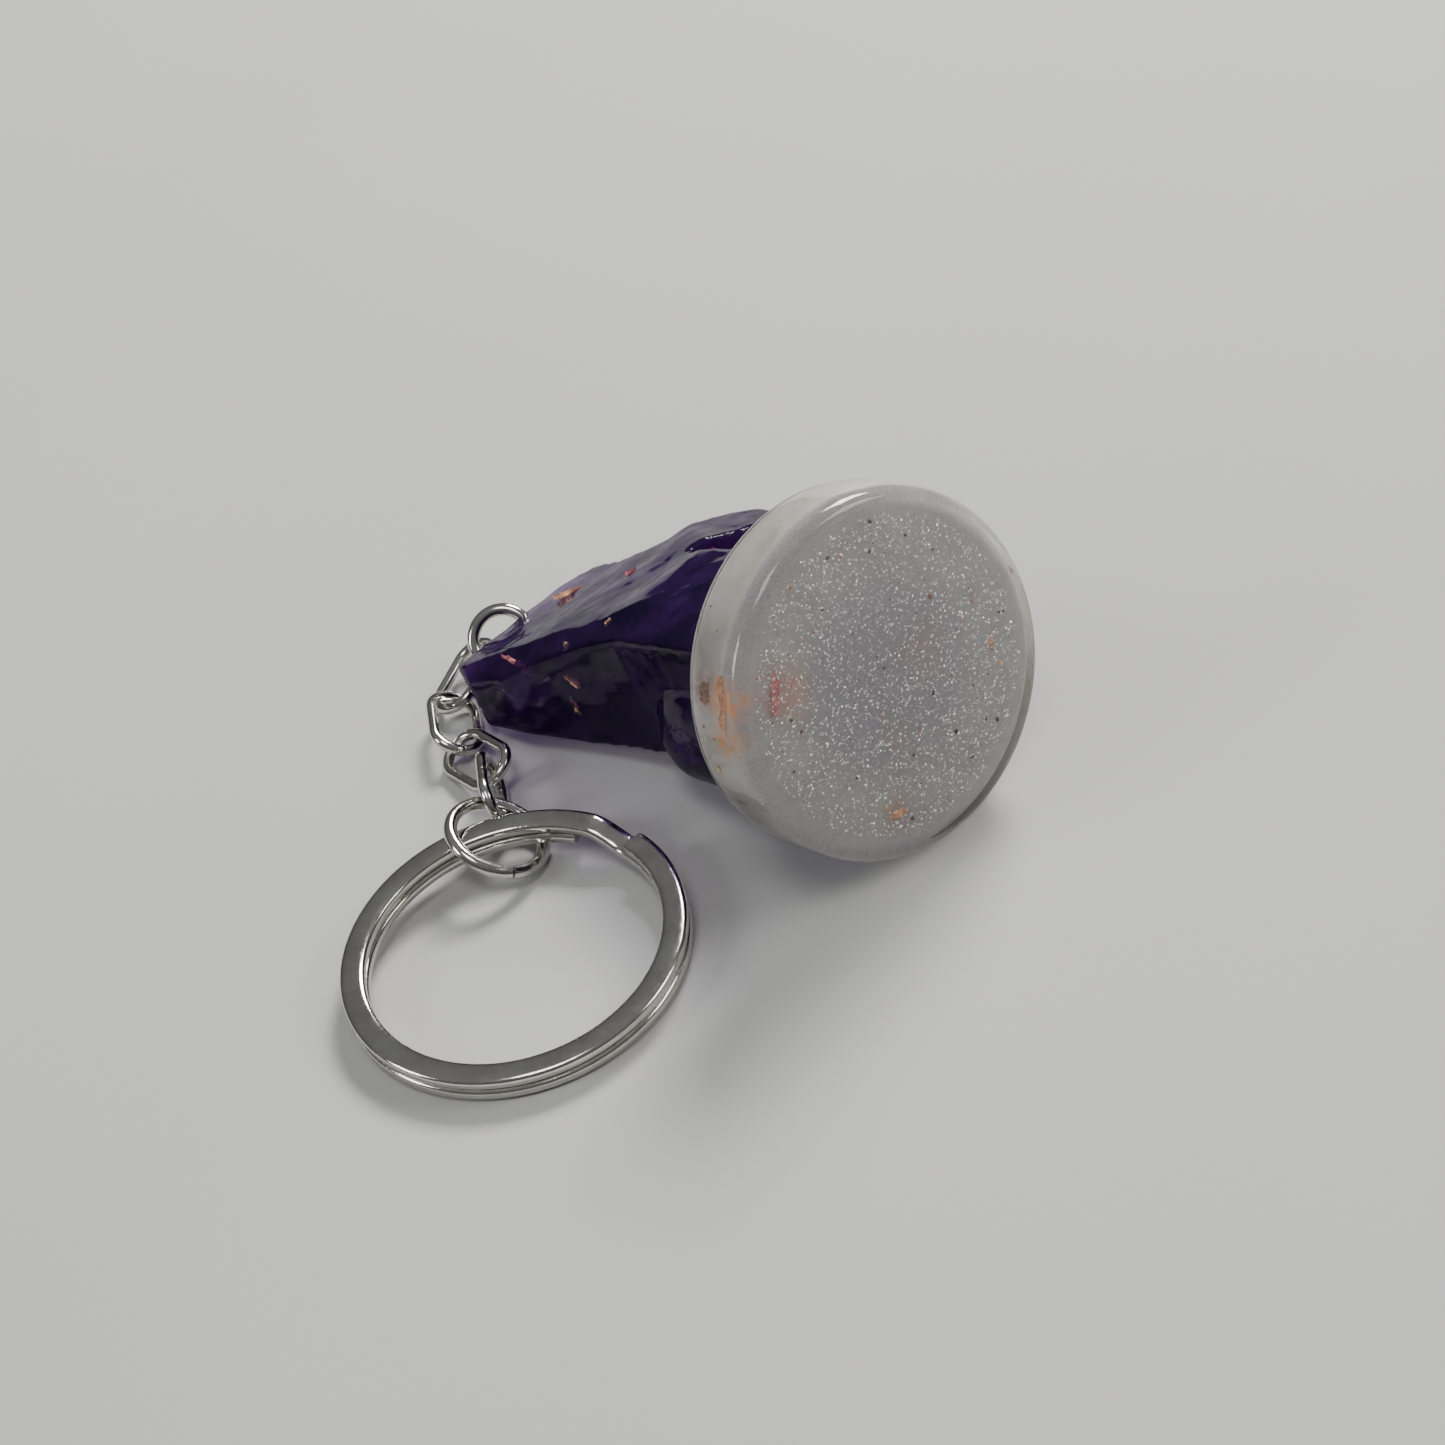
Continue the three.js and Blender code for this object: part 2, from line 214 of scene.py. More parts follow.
def violet_resin():
    m = Nodes("violet_resin")
    cast = m.bump(m.noise(420, 2.0, 0.5), 0.12, 0.0004)
    # burst bubbles have left small round pits on the shoulder lobe
    cell = m.add("TexVoronoi", Vector=m.coords, Scale=1250.0).outputs["Distance"]
    near = m.vector("LENGTH", m.vector("SUBTRACT", m.coords, PIECE @ Vector((-7.6, 3.6, 19.0))))
    pitted = m.math("MAXIMUM", m.range(cell, 0, 1, 0.16, 0.26), m.range(near, 0, 1, 1.6 * MM, 2.6 * MM))
    cast = m.bump(pitted, 0.9, 0.00025, cast)
    smear = m.range(m.noise(900, 4.0, 0.6), 0.03, 0.12)
    tint = m.ramp(m.noise(260, 3.0), (0.3, (0.82, 0.74, 0.98)), (0.7, (1.0, 0.93, 1.0)))
    clear = m.principled(Base_Color=tint, Roughness=smear, IOR=1.42, Transmission_Weight=1.0, Normal=cast)
    milky = m.ramp(m.noise(350, 4.0, 0.6, 0.5), (0.35, (0.010, 0.005, 0.032)), (0.7, (0.040, 0.011, 0.085)))
    haze = m.add("BsdfDiffuse", Color=milky, Normal=cast).outputs["BSDF"]
    mixed = m.add("MixShader")
    for socket, value in enumerate((m.range(m.noise(500, 3.0), 0.40, 0.60), clear, haze)):
        m.put(mixed.inputs[socket], value)
    m.absorb((0.50, 0.056, 0.633), 850)
    return m.surface(mixed.outputs[0], (0.45, 0.41, 0.48))


def clear_resin():
    m = Nodes("clear_resin")
    cast = m.bump(m.noise(300, 2.0), 0.06, 0.0004)
    smear = m.range(m.noise(700, 4.0, 0.6), 0.03, 0.12)
    tint = m.ramp(m.noise(150, 2.0), (0.3, (0.93, 0.92, 0.9)), (0.7, (0.98, 0.98, 0.97)))
    return m.surface(m.principled(Base_Color=tint, Roughness=smear, IOR=1.48, Transmission_Weight=1.0,
                                  Normal=cast), (0.93, 0.93, 0.92))


# where colour has bled from the foil into the milky resin: place, reach, strength and colour
STAINS = [
    ((-10.8, -5.7, 3.8), 1.9, 1.0, (0.13, 0.055, 0.03)),
    ((-11.0, -5.1, 2.0), 1.9, 0.9, (0.60, 0.27, 0.10)),
    ((-11.9, -2.6, 2.4), 1.7, 0.9, (0.55, 0.26, 0.10)),
    ((-7.2, -3.4, 1.3), 2.6, 0.7, (0.46, 0.25, 0.16)),
    ((-8.2, -4.2, 1.3), 2.4, 0.5, (0.38, 0.17, 0.18)),
    ((-3.8, 8.6, 1.3), 1.8, 0.6, (0.36, 0.20, 0.13)),
    ((3.3, 0.1, 1.3), 2.6, 0.4, (0.36, 0.20, 0.19)),
    ((-1.4, 4.4, 1.3), 2.4, 0.35, (0.34, 0.20, 0.18)),
]


def pearl_resin():
    m = Nodes("pearl_resin")
    cloud = m.noise(240, 4.0, 0.55, 0.4)
    from_face = m.vector("SUBTRACT", m.coords, face_at)
    from_axis = m.vector("LENGTH", m.vector("CROSS_PRODUCT", from_face, outward))
    depth = m.vector("DOT_PRODUCT", from_face, up)
    milk = m.ramp(cloud, (0.3, (0.25, 0.24, 0.225)), (0.5, (0.32, 0.305, 0.285)), (0.75, (0.38, 0.365, 0.35)))
    rings = m.ramp(m.range(from_axis, 0, 1, 0, BASE_R * MM), (0.0, (0.20, 0.19, 0.215)),
                   (0.45, (0.235, 0.225, 0.245)), (0.68, (0.31, 0.30, 0.265)), (0.92, (0.27, 0.265, 0.26)))
    clouded = m.range(m.noise(330, 5.0, 0.7, 0.8), 0.0, 0.75, 0.4, 0.62)
    mottled = m.mix(clouded, rings, (0.225, 0.20, 0.225, 1))
    mottled = m.mix(m.range(m.noise(8500, 3.0, 0.8), 0.0, 0.35, 0.35, 0.65), mottled, (0.52, 0.52, 0.53, 1))
    core = m.mix(m.range(depth, 0, 1, 1.6 * MM, 2.2 * MM), mottled, milk)
    swirl = m.range(m.noise(620, 5.0, 0.6, 2.2), 0.0, 1.0, 0.44, 0.56)
    for place, reach, strength, colour in STAINS:
        near = m.vector("LENGTH", m.vector("SUBTRACT", m.coords, PIECE @ Vector(place)))
        spot = m.range(near, strength, 0, 0.25 * reach * MM, reach * MM)
        patchy = m.math("MULTIPLY", spot, m.range(swirl, 0.35, 1.0, 0, 1))
        core = m.mix(patchy, core, (*colour, 1))
    grain = m.range(m.noise(5200, 2.0), 0.32, 0.5)
    return m.surface(m.principled(Base_Color=core, Roughness=grain, Subsurface_Weight=0.6,
                                  Subsurface_Radius=(0.0016, 0.0013, 0.0012), Subsurface_Scale=1.0,
                                  Normal=m.bump(m.noise(2600, 3.0), 0.15, 0.0001)))


def glitter():
    m = Nodes("silver_glitter")
    each = m.add("NewGeometry").outputs["Random Per Island"]
    silver = m.ramp(each, (0.0, (0.72, 0.72, 0.74)), (0.6, (0.93, 0.93, 0.94)), (0.9, (0.97, 0.95, 0.92)),
                    (1.0, (0.80, 0.68, 0.60)))
    mirror = m.range(m.noise(9000, 2.0), 0.0, 1.0, 0.45, 0.5)
    return m.surface(m.principled(Base_Color=silver, Metallic=mirror,
                                  Roughness=m.range(each, 0.10, 0.32, 0, 1)))


def foil(name, deep, bright):
    m = Nodes(name)
    leaf = m.ramp(m.noise(1700, 5.0, 0.65, 0.6), (0.3, deep), (0.7, bright))
    crease = m.bump(m.noise(3200, 4.0, 0.7), 0.7, 0.00025)
    return m.surface(m.principled(Base_Color=leaf, Metallic=1.0, Roughness=m.range(m.noise(2400), 0.18, 0.45),
                                  Normal=crease))


def specks():
    m = Nodes("stray_specks")
    each = m.add("NewGeometry").outputs["Random Per Island"]
    tone = m.ramp(each, (0.0, (0.015, 0.01, 0.01)), (0.45, (0.10, 0.04, 0.02)), (0.7, (0.45, 0.18, 0.08)),
                  (0.9, (0.80, 0.55, 0.25)))
    return m.surface(m.principled(Base_Color=tone, Metallic=m.range(each, 0, 1, 0.5, 0.7),
                                  Roughness=m.range(m.noise(2600), 0.25, 0.5)))


def nickel(name, warm=0.0):
    m = Nodes(name)
    tone = m.ramp(m.noise(500, 5.0, 0.6), (0.3, (0.56, 0.545 - warm, 0.51 - warm)),
                  (0.7, (0.70, 0.685, 0.65 - warm)))
    wear = m.range(m.noise(1500, 6.0, 0.7), 0.05, 0.18)
    scratch = m.add("TexNoise", Vector=m.coords, Scale=4000.0, Detail=2.0, Distortion=1.5).outputs["Fac"]
    return m.surface(m.principled(Base_Color=tone, Metallic=1.0, Roughness=wear,
                                  Normal=m.bump(scratch, 0.08, 0.00005)))


def paper():
    m = Nodes("paper")
    fibre = m.noise(1400, 6.0, 0.65, 0.8)
    shade = m.ramp(m.noise(9, 3.0, 0.5), (0.3, (0.535, 0.535, 0.525)), (0.7, (0.575, 0.575, 0.565)))
    return m.surface(m.principled(Base_Color=shade, Roughness=0.85, Normal=m.bump(fibre, 0.12, 0.0001)))


VIOLET = violet_resin()
CLEAR = clear_resin()
PEARL = pearl_resin()
GLITTER = glitter()
SPECKS = specks()
COPPER = foil("copper_foil", (0.50, 0.20, 0.09), (0.92, 0.52, 0.32))
PINK = foil("pink_foil", (0.35, 0.07, 0.09), (0.75, 0.32, 0.32))
BROWN = foil("brown_foil", (0.10, 0.04, 0.02), (0.38, 0.19, 0.11))
GOLD = foil("gold_foil", (0.40, 0.24, 0.08), (0.95, 0.70, 0.36))
NICKEL = nickel("nickel_plate")
RING_NICKEL = nickel("nickel_plate_ring", 0.012)


# ---- mesh helpers -------------------------------------------------------------------------------
def piece(name, verts, faces, material, place=None, smooth=True, sharp=None):
    mesh = bpy.data.meshes.new(name)
    mesh.from_pydata([tuple(v) for v in verts], [], faces)
    if place is not None:
        mesh.transform(place)
    mesh.update()
    body = bmesh.new()
    body.from_mesh(mesh)
    bmesh.ops.recalc_face_normals(body, faces=body.faces)
    body.to_mesh(mesh)
    body.free()
    if smooth:
        mesh.shade_smooth()
        if sharp:
            mesh.set_sharp_from_angle(angle=math.radians(sharp))
    mesh.materials.append(material)
    obj = bpy.data.objects.new(name, mesh)
    bpy.context.scene.collection.objects.link(obj)
    return obj


def belongs(obj, body, slot, *nodes):
    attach(obj, body)
    if nodes:
        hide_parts(*nodes)
    return obj


def lathe(profile, segments, ratio=1.0):
    """A turned solid about Z from an open profile of (radius, height), closed on the axis."""
    verts, faces = [], []
    for r, z in profile:
        for i in range(segments):
            a = 2 * math.pi * i / segments
            verts.append((r * math.cos(a), r * ratio * math.sin(a), z))
    for k in range(len(profile) - 1):
        for i in range(segments):
            j = (i + 1) % segments
            faces.append((k * segments + i, k * segments + j, (k + 1) * segments + j, (k + 1) * segments + i))
    for k, z in ((0, profile[0][1]), (len(profile) - 1, profile[-1][1])):
        verts.append((0, 0, z))
        faces += [(len(verts) - 1, k * segments + i, k * segments + (i + 1) % segments)
                  for i in range(segments)]
    return verts, faces


def prism(outline, axis, low, high):
    """An outline in the other two axes, drawn through from low to high along the axis."""
    n = len(outline)

    def point(a, b, c):
        return {"Y": (a, c, b), "X": (c, a, b), "Z": (a, b, c)}[axis]

    verts = [point(a, b, c) for c in (low, high) for a, b in outline]
    faces = [tuple(range(n)), tuple(range(n, 2 * n))]
    faces += [(i, (i + 1) % n, n + (i + 1) % n, n + i) for i in range(n)]
    return verts, faces


def curve(start, via, end, steps=10):
    """Points of a quadratic curve, without its start."""
    points = []
    for i in range(1, steps + 1):
        t = i / steps
        points.append(tuple((1 - t) ** 2 * s + 2 * t * (1 - t) * v + t * t * e
                            for s, v, e in zip(start, via, end)))
    return points


def sweep(path, section, binormal, shrink=None):
    """A section carried along an open path with flat ends; binormal(i) is the section's second axis."""
    n, m = len(path), len(section)
    verts, faces = [], []
    for i, p in enumerate(path):
        t = (path[min(i + 1, n - 1)] - path[max(i - 1, 0)]).normalized()
        b = binormal(i)
        b = (b - b.dot(t) * t).normalized()
        a = b.cross(t)
        k = shrink(i) if shrink else 1.0
        verts += [p + a * (u * k) + b * (v * k) for u, v in section]
    for i in range(n - 1):
        for j in range(m):
            faces.append((i * m + j, i * m + (j + 1) % m, (i + 1) * m + (j + 1) % m, (i + 1) * m + j))
    faces += [tuple(range(m)), tuple((n - 1) * m + j for j in range(m))]
    return verts, faces


def round_section(diameter, sides=20):
    r, step = diameter / 2, 2 * math.pi / sides
    return [(r * math.cos(step * i), r * math.sin(step * i)) for i in range(sides)]


def applied(obj, *modifiers):
    """Runs modifiers, each a kind and its settings, and bakes the result into the mesh."""
    for kind, settings in modifiers:
        modifier = obj.modifiers.new(kind, kind)
        for key, value in settings.items():
            setattr(modifier, key, value)
    bpy.context.view_layer.update()
    evaluated = obj.evaluated_get(bpy.context.evaluated_depsgraph_get())
    mesh = bpy.data.meshes.new_from_object(evaluated)
    obj.modifiers.clear()
    old = obj.data
    obj.data = mesh
    bpy.data.meshes.remove(old)
    return obj


# ---- bent wire ----------------------------------------------------------------------------------
def oval_path(half, r, steps, butt):
    """A flat oval with round ends; its open joint is in the middle of one side."""
    length = 4 * half + 2 * math.pi * r
    points = []
    for i in range(steps + 1):
        s = butt / 2 + i / steps * (length - butt)
        if s < half:
            p = (s, -r)
        elif s < half + math.pi * r:
            a = (s - half) / r
            p = (half + r * math.sin(a), -r * math.cos(a))
        elif s < 3 * half + math.pi * r:
            p = (2 * half + math.pi * r - s, r)
        elif s < 3 * half + 2 * math.pi * r:
            a = (s - 3 * half - math.pi * r) / r
            p = (-half - r * math.sin(a), r * math.cos(a))
        else:
            p = (s - length, -r)
        points.append(Vector((p[0], p[1], 0)))
    return points


def wire_loop(name, half, r, wire, place, material, body, node, butt=0.08, steps=110):
    path = oval_path(half, r, steps, butt)
    # the cut ends are a little bruised by the pliers
    path.insert(1, path[0].lerp(path[1], 0.15))
    path.insert(-1, path[-1].lerp(path[-2], 0.15))
    last = len(path) - 1
    verts, faces = sweep(path, round_section(wire), lambda i: Vector((0, 0, 1)),
                         lambda i: 0.9 if i in (0, last) else 1.0)
    obj = piece(name, verts, faces, material, place, sharp=50)
    return belongs(obj, body, "nickel_plate", node)


for i, place in enumerate(LINK_PLACES):
    wire_loop(f"link_{i + 1}_wire", LINK_HALF, LINK_END_R, LINK_WIRE, place, NICKEL,
              f"link_{i + 1}", f"chain_link_{i + 1}")
wire_loop("jump_ring_wire", 0, JUMP_R, JUMP_WIRE, JUMP_PLACE, NICKEL, "jump_ring", "jump_ring",
          butt=0.1, steps=140)


def screw_eye():
    verts, faces = [], []
    sides, around = 20, 96
    for i in range(around):
        a = 2 * math.pi * i / around
        out = Vector((math.cos(a), math.sin(a), 0))
        for u, v in round_section(EYE_WIRE, sides):
            verts.append(out * (EYE_R + u) + Vector((0, 0, v)))
    for i in range(around):
        for j in range(sides):
            faces.append((i * sides + j, i * sides + (j + 1) % sides,
                          ((i + 1) % around) * sides + (j + 1) % sides, ((i + 1) % around) * sides + j))
    # the shank with its thread
    profile = [(0.5, 0.2), (0.5, 0.9)]
    z = 1.1
    while z < 4.7:
        profile += [(0.36, z), (0.5, z + 0.14), (0.5, z + 0.2), (0.36, z + 0.34)]
        z += 0.44
    profile += [(0.2, 4.95)]
    shank, shank_faces = lathe(profile, 20)
    start = len(verts)
    verts += [Vector((EYE_R + v[2], v[0], v[1])) for v in shank]
    faces += [tuple(start + k for k in f) for f in shank_faces]
    return belongs(piece("screw_eye_wire", verts, faces, NICKEL, EYE_PLACE, sharp=40),
                   "figure", "nickel_plate", "screw_eye")


screw_eye()


def split_ring():
    """Two coils lying on each other; the wire steps down between its own two ends."""
    steps = 420
    turn = 4 * math.pi - math.radians(26)
    step_end, step_angle = math.radians(356), math.radians(17)
    path = []
    for i in range(steps + 1):
        turned = i / steps * turn
        a = math.radians(32) - turned
        t = min(1, max(0, (turned - step_end + step_angle) / step_angle))
        drop = t * t * (3 - 2 * t)
        z = RING_COIL * 1.5 + COIL_GAP - drop * (RING_COIL + COIL_GAP)
        r = RING_R - RING_WIDE / 2
        path.append(Vector((r * math.cos(a), r * math.sin(a), z)))
    section = []
    corners, squareness = 28, 0.62
    for i in range(corners):
        a = 2 * math.pi * i / corners
        c, s = math.cos(a), math.sin(a)
        section.append((RING_WIDE / 2 * math.copysign(abs(c) ** squareness, c),
                        RING_COIL / 2 * math.copysign(abs(s) ** squareness, s)))
    verts, faces = sweep(path, section, lambda i: Vector((0, 0, 1)),
                         lambda i: 0.93 if i in (0, steps) else 1.0)
    return belongs(piece("split_ring_coils", verts, faces, RING_NICKEL, RING_PLACE, sharp=50),
                   "split_ring", "nickel_plate", "split_ring")


split_ring()


# ---- the foot -----------------------------------------------------------------------------------
# clear skin of the foot: a soft bevel round the flat face, with the face a little crowned
skin_profile = [(2.0, 0.0), (6.0, 0.0), (9.0, 0.0), (10.9, 0.03), (11.3, 0.05)]
skin_profile += [(11.65, 0.02), (11.85, 0.06), (12.1, 0.2), (12.32, 0.45), (12.46, 0.75), (BASE_R, 1.0)]
skin_profile += [(BASE_R, 2.4), (BASE_R, 4.0), (BASE_R, 5.2), (12.44, 5.5), (12.3, 5.7), (12.1, 5.79),
                 (11.6, BASE_T), (6.0, BASE_T), (2.0, BASE_T)]
verts, faces = lathe(skin_profile, 220)
belongs(piece("foot_skin", verts, faces, CLEAR, PIECE, sharp=40), "figure", "clear_resin",
        "base_disc", "clear_face")
# the milky core inside it, rounded towards the face
core_profile = [(2.0, CORE_FACE), (9.0, CORE_FACE), (11.1, CORE_FACE), (11.5, 1.36), (11.85, 1.52),
                (12.06, 1.75), (12.17, 2.0), (CORE_R, 2.3), (CORE_R, 3.6), (CORE_R, 5.0), (12.05, 5.35),
                (11.7, CORE_BACK), (6.0, CORE_BACK), (2.0, CORE_BACK)]
verts, faces = lathe(core_profile, 160)
belongs(piece("foot_core", verts, faces, PEARL, PIECE), "figure", "pearl_resin", "base_disc")


def add_chip(verts, faces, at, across, out, reaches, thick):
    """A tiny closed chip: corners round its edge, and a low point on each side."""
    start, corners = len(verts), len(reaches)
    for k, reach in enumerate(reaches):
        b = 2 * math.pi * k / corners
        verts.append(at + (across * math.cos(b) + out.cross(across) * math.sin(b)) * reach)
    verts += [at + out * thick, at - out * thick]
    for k in range(corners):
        a, b = start + k, start + (k + 1) % corners
        faces += [(a, b, start + corners), (b, a, start + corners + 1)]


def glitter_flakes():
    """Fine flakes strewn at all angles in the clear layer under the flat face."""
    rng = random.Random(11)
    verts, faces = [], []
    for _ in range(GLITTER_FLAKES):
        r, a = (POCKET_R - 0.15) * math.sqrt(rng.random()), 2 * math.pi * rng.random()
        at = Vector((r * math.cos(a), r * math.sin(a), 0.35 + 0.8 * rng.random()))
        out = Vector((rng.gauss(0, 0.25), rng.gauss(0, 0.25), 1)).normalized()
        size = 0.045 + 0.055 * rng.random() ** 2
        add_chip(verts, faces, at, out.orthogonal().normalized(), out, [size] * 4, 0.006)
    return piece("glitter_flakes", verts, faces, GLITTER, PIECE, smooth=False)


belongs(glitter_flakes(), "figure", "silver_glitter", "glitter_layer")


def stray_specks():
    """Torn bits of foil, some dark, under the flat face and just inside the side wall."""
    rng = random.Random(23)
    verts, faces = [], []
    for i in range(STRAY_SPECKS):
        a = 2 * math.pi * rng.random()
        if i % 3:
            r = 10.6 * math.sqrt(rng.random())
            at, out = Vector((r * math.cos(a), r * math.sin(a), FACE_SPECK_Z)), Vector((0, 0, -1))
        else:
            out = Vector((math.cos(a), math.sin(a), 0))
            at = out * RIM_SPECK_R + Vector((0, 0, rng.uniform(2.2, 5.0)))
        across = Matrix.Rotation(2 * math.pi * rng.random(), 3, out) @ out.orthogonal().normalized()
        size = 0.06 + 0.14 * rng.random() ** 2
        add_chip(verts, faces, at, across, out, [size * rng.uniform(0.5, 1.3) for _ in range(5)], 0.02)
    return piece("stray_specks", verts, faces, SPECKS, PIECE, smooth=False)


belongs(stray_specks(), "figure", "copper_foil")


# ---- the horse head -----------------------------------------------------------------------------
profile = [(-6.2, 5.5), (-7.2, COLLAR_TOP)]
profile += curve((-7.2, COLLAR_TOP), (-8.4, 26.5), (-11.6, 32.4))
profile += [(-12.3, 36.4), (-11.2, 39.6), (-6.4, 39.8), (-1.0, 40.7)]
profile += curve((-1.0, 40.7), (2.0, 40.6), (2.8, 37.6))
profile += curve((2.8, 37.6), (3.0, 33.2), (5.6, 31.8))
profile += curve((5.6, 31.8), (10.6, 30.6), (11.5, 27.4))
profile += curve((11.5, 27.4), (11.7, 24.8), (9.6, 24.2))
profile += [(3.6, 25.6)]
profile += curve((3.6, 25.6), (2.8, 23.4), (5.8, COLLAR_TOP - 4)) + [(7.0, 5.5)]
front = [(-6.2, 5.5), (6.2, 5.5), (6.0, 17.6), (5.4, 22.6), (4.8, 25), (4.3, 29), (3.06, 36.6), (-2.0, 40.8),
         (-2.5, 38.4), (-4.3, 29), (-4.8, 25), (-5.4, 22.6), (-6.0, 17.6)]
plan = [(-13, -1.5), (-10.4, -3.0), (-7.4, -4.4), (-3.5, -5.6), (3.5, -5.2), (7.5, -3.9), (11.5, -3.1),
        (13, -1.6), (13, 1.4), (11.5, 2.8), (7.5, 3.4), (3.5, 5.0), (-7.4, 5.4), (-10.4, 3.4), (-13, 1.5)]
# the shoulder lobe beside the neck leans to the table
lobe_profile = [(2.0, 5.5), (7.1, 5.5), (7.2, 6.1), (7.2, 16.6), (7.0, 18.0), (6.5, 19.2), (5.7, 20.2),
                (4.6, 20.7), (2.0, 20.8)]
LOBE_PLACE = Matrix.Translation((-2.5, 1.7, 0)) @ Matrix.Rotation(math.radians(-34), 4, "Z")


def cast_figure():
    """Chest, neck and head in one casting: three outlines cut from each other, joined and eased."""
    main = piece("head_casting", *prism(profile, "Y", -9, 9), VIOLET, smooth=False)
    tools = [
        (piece("cut_front", *prism(front, "X", -20, 20), VIOLET, smooth=False), "INTERSECT"),
        (piece("cut_plan", *prism(plan, "Z", 0, 60), VIOLET, smooth=False), "INTERSECT"),
        (piece("join_lobe", *lathe(lobe_profile, 96, 0.64), VIOLET, LOBE_PLACE, smooth=False), "UNION"),
    ]
    steps = [("BOOLEAN", {"operation": how, "object": tool, "solver": "EXACT"}) for tool, how in tools]
    steps += [("REMESH", {"mode": "VOXEL", "voxel_size": 0.24, "adaptivity": 0.0}),
              ("SMOOTH", {"factor": 0.5, "iterations": 7})]
    applied(main, *steps)
    for tool, _ in tools:
        bpy.data.objects.remove(tool)
    places = [vertex.co.copy() for vertex in main.data.vertices]
    normals = [vertex.normal.copy() for vertex in main.data.vertices]
    for i, (p, normal) in enumerate(zip(places, normals)):
        if p.z > 6.4:
            swell = noise.noise(p * 0.35) * 0.09 + noise.noise(p * 0.9) * 0.03
            places[i] = p + normal * (swell - 0.05)
    main.data.vertices.foreach_set("co", [c for p in places for c in p])
    main.data.update()
    return main


figure = cast_figure()
surface = BVHTree.FromPolygons([v.co.copy() for v in figure.data.vertices],
                               [tuple(p.vertices) for p in figure.data.polygons])
# the open side of the figure looks up and towards the foot's flat face
OPEN_SIDE = Vector((-0.30, -0.46, -0.83)).normalized()


def under_skin(at, depth):
    """The place below the figure's skin that is seen from the open side through a point."""
    hit, *_ = surface.ray_cast(Vector(at) + OPEN_SIDE * 60, -OPEN_SIDE)
    return (hit if hit else Vector(at)) - OPEN_SIDE * depth


def held_inside(at, radius):
    """The nearest place at which a ball of this size doesn't come through the skin."""
    hit, normal, _, distance = surface.find_nearest(at)
    return hit - normal * max(distance, radius * 1.25)


def add_bubbles(obj, bubbles):
    """Air bubbles: small hollow balls in the casting, their skins facing inwards."""
    body = bmesh.new()
    body.from_mesh(obj.data)
    for at, radius in bubbles:
        made = bmesh.ops.create_icosphere(body, subdivisions=3, radius=radius, matrix=Matrix.Translation(at))
        faces = {f for v in made["verts"] for f in v.link_faces}
        bmesh.ops.reverse_faces(body, faces=list(faces))
    body.to_mesh(obj.data)
    body.free()


rng = random.Random(5)
bubbles = []
for x, y, z, radius in ((-8.0, 3.2, 19.6, 0.36), (-6.8, 2.6, 18.6, 0.22), (-7.0, 3.8, 19.4, 0.2),
                        (-7.4, 4.6, 18.2, 0.2), (-6.6, 3.4, 17.4, 0.26), (-7.8, 4.4, 19.4, 0.16),
                        (-3.4, 0, 24.5, 0.16), (-6.2, 0, 30.6, 0.14), (-9.3, 0, 31.5, 0.15)):
    bubbles.append((held_inside(under_skin((x, y, z), radius * 1.2), radius), radius))
for _ in range(26):
    at = under_skin((rng.uniform(-9, 4), rng.uniform(-2, 3), rng.uniform(19, 38)), rng.uniform(0.3, 1.6))
    radius = rng.uniform(0.05, 0.14)
    bubbles.append((held_inside(at, radius), radius))
add_bubbles(figure, bubbles)
figure.data.transform(PIECE)
figure.data.shade_smooth()
belongs(figure, "figure", "violet_resin", "horse_head")


# ---- foil ---------------------------------------------------------------------------------------
def leaf(name, middle, right, ahead, size, crumple, material, seed, node=None):
    """A torn, crumpled scrap of foil, in the piece's frame."""
    rng = random.Random(seed)
    across, along = 12, 9
    right = right.normalized()
    ahead = (ahead - ahead.dot(right) * right).normalized()
    lift = right.cross(ahead)
    shift = Vector((rng.random(), rng.random(), rng.random())) * 50
    grid, verts, faces = {}, [], []
    for side in (1, -1):
        for i in range(across + 1):
            for j in range(along + 1):
                u, v = 2 * i / across - 1, 2 * j / along - 1
                p = shift + Vector((u * size[0], v * size[1], 0)) * 1.4
                fold = noise.noise(p) + 0.5 * noise.noise(p * 2.7)
                pull = 1 + 0.28 * noise.noise(shift + Vector((u, v, 3)) * 1.5)
                at = (middle + right * (u * size[0] / 2 * pull) + ahead * (v * size[1] / 2 * (2 - pull))
                      + lift * (fold * crumple + side * 0.012))
                grid[side, i, j] = len(verts)
                verts.append(at)

    def torn(i, j):
        u, v = 2 * (i + 0.5) / across - 1, 2 * (j + 0.5) / along - 1
        return noise.noise(shift + Vector((u, v, 9)) * 2.2) * 1.1 + u * u + v * v > 1.0

    kept = {(i, j) for i in range(across) for j in range(along) if not torn(i, j)}
    for i, j in sorted(kept):
        a = [(i, j), (i + 1, j), (i + 1, j + 1), (i, j + 1)]
        faces.append(tuple(grid[(1, *c)] for c in a))
        faces.append(tuple(grid[(-1, *c)] for c in reversed(a)))
        for k, (di, dj) in enumerate(((0, -1), (1, 0), (0, 1), (-1, 0))):
            if (i + di, j + dj) not in kept:
                b, c = a[k], a[(k + 1) % 4]
                faces.append((grid[(1, *b)], grid[(-1, *b)], grid[(-1, *c)], grid[(1, *c)]))
    used = sorted({k for f in faces for k in f})
    renumber = {k: n for n, k in enumerate(used)}
    kept_faces = [tuple(renumber[k] for k in f) for f in faces]
    obj = piece(name, [verts[k] for k in used], kept_faces, material, PIECE, sharp=35)
    return belongs(obj, "figure", "copper_foil", *([node] if node else []))


def middle_of(node):
    low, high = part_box(node)
    return PIECE.inverted() @ ((Vector(low) + Vector(high)) / 2)


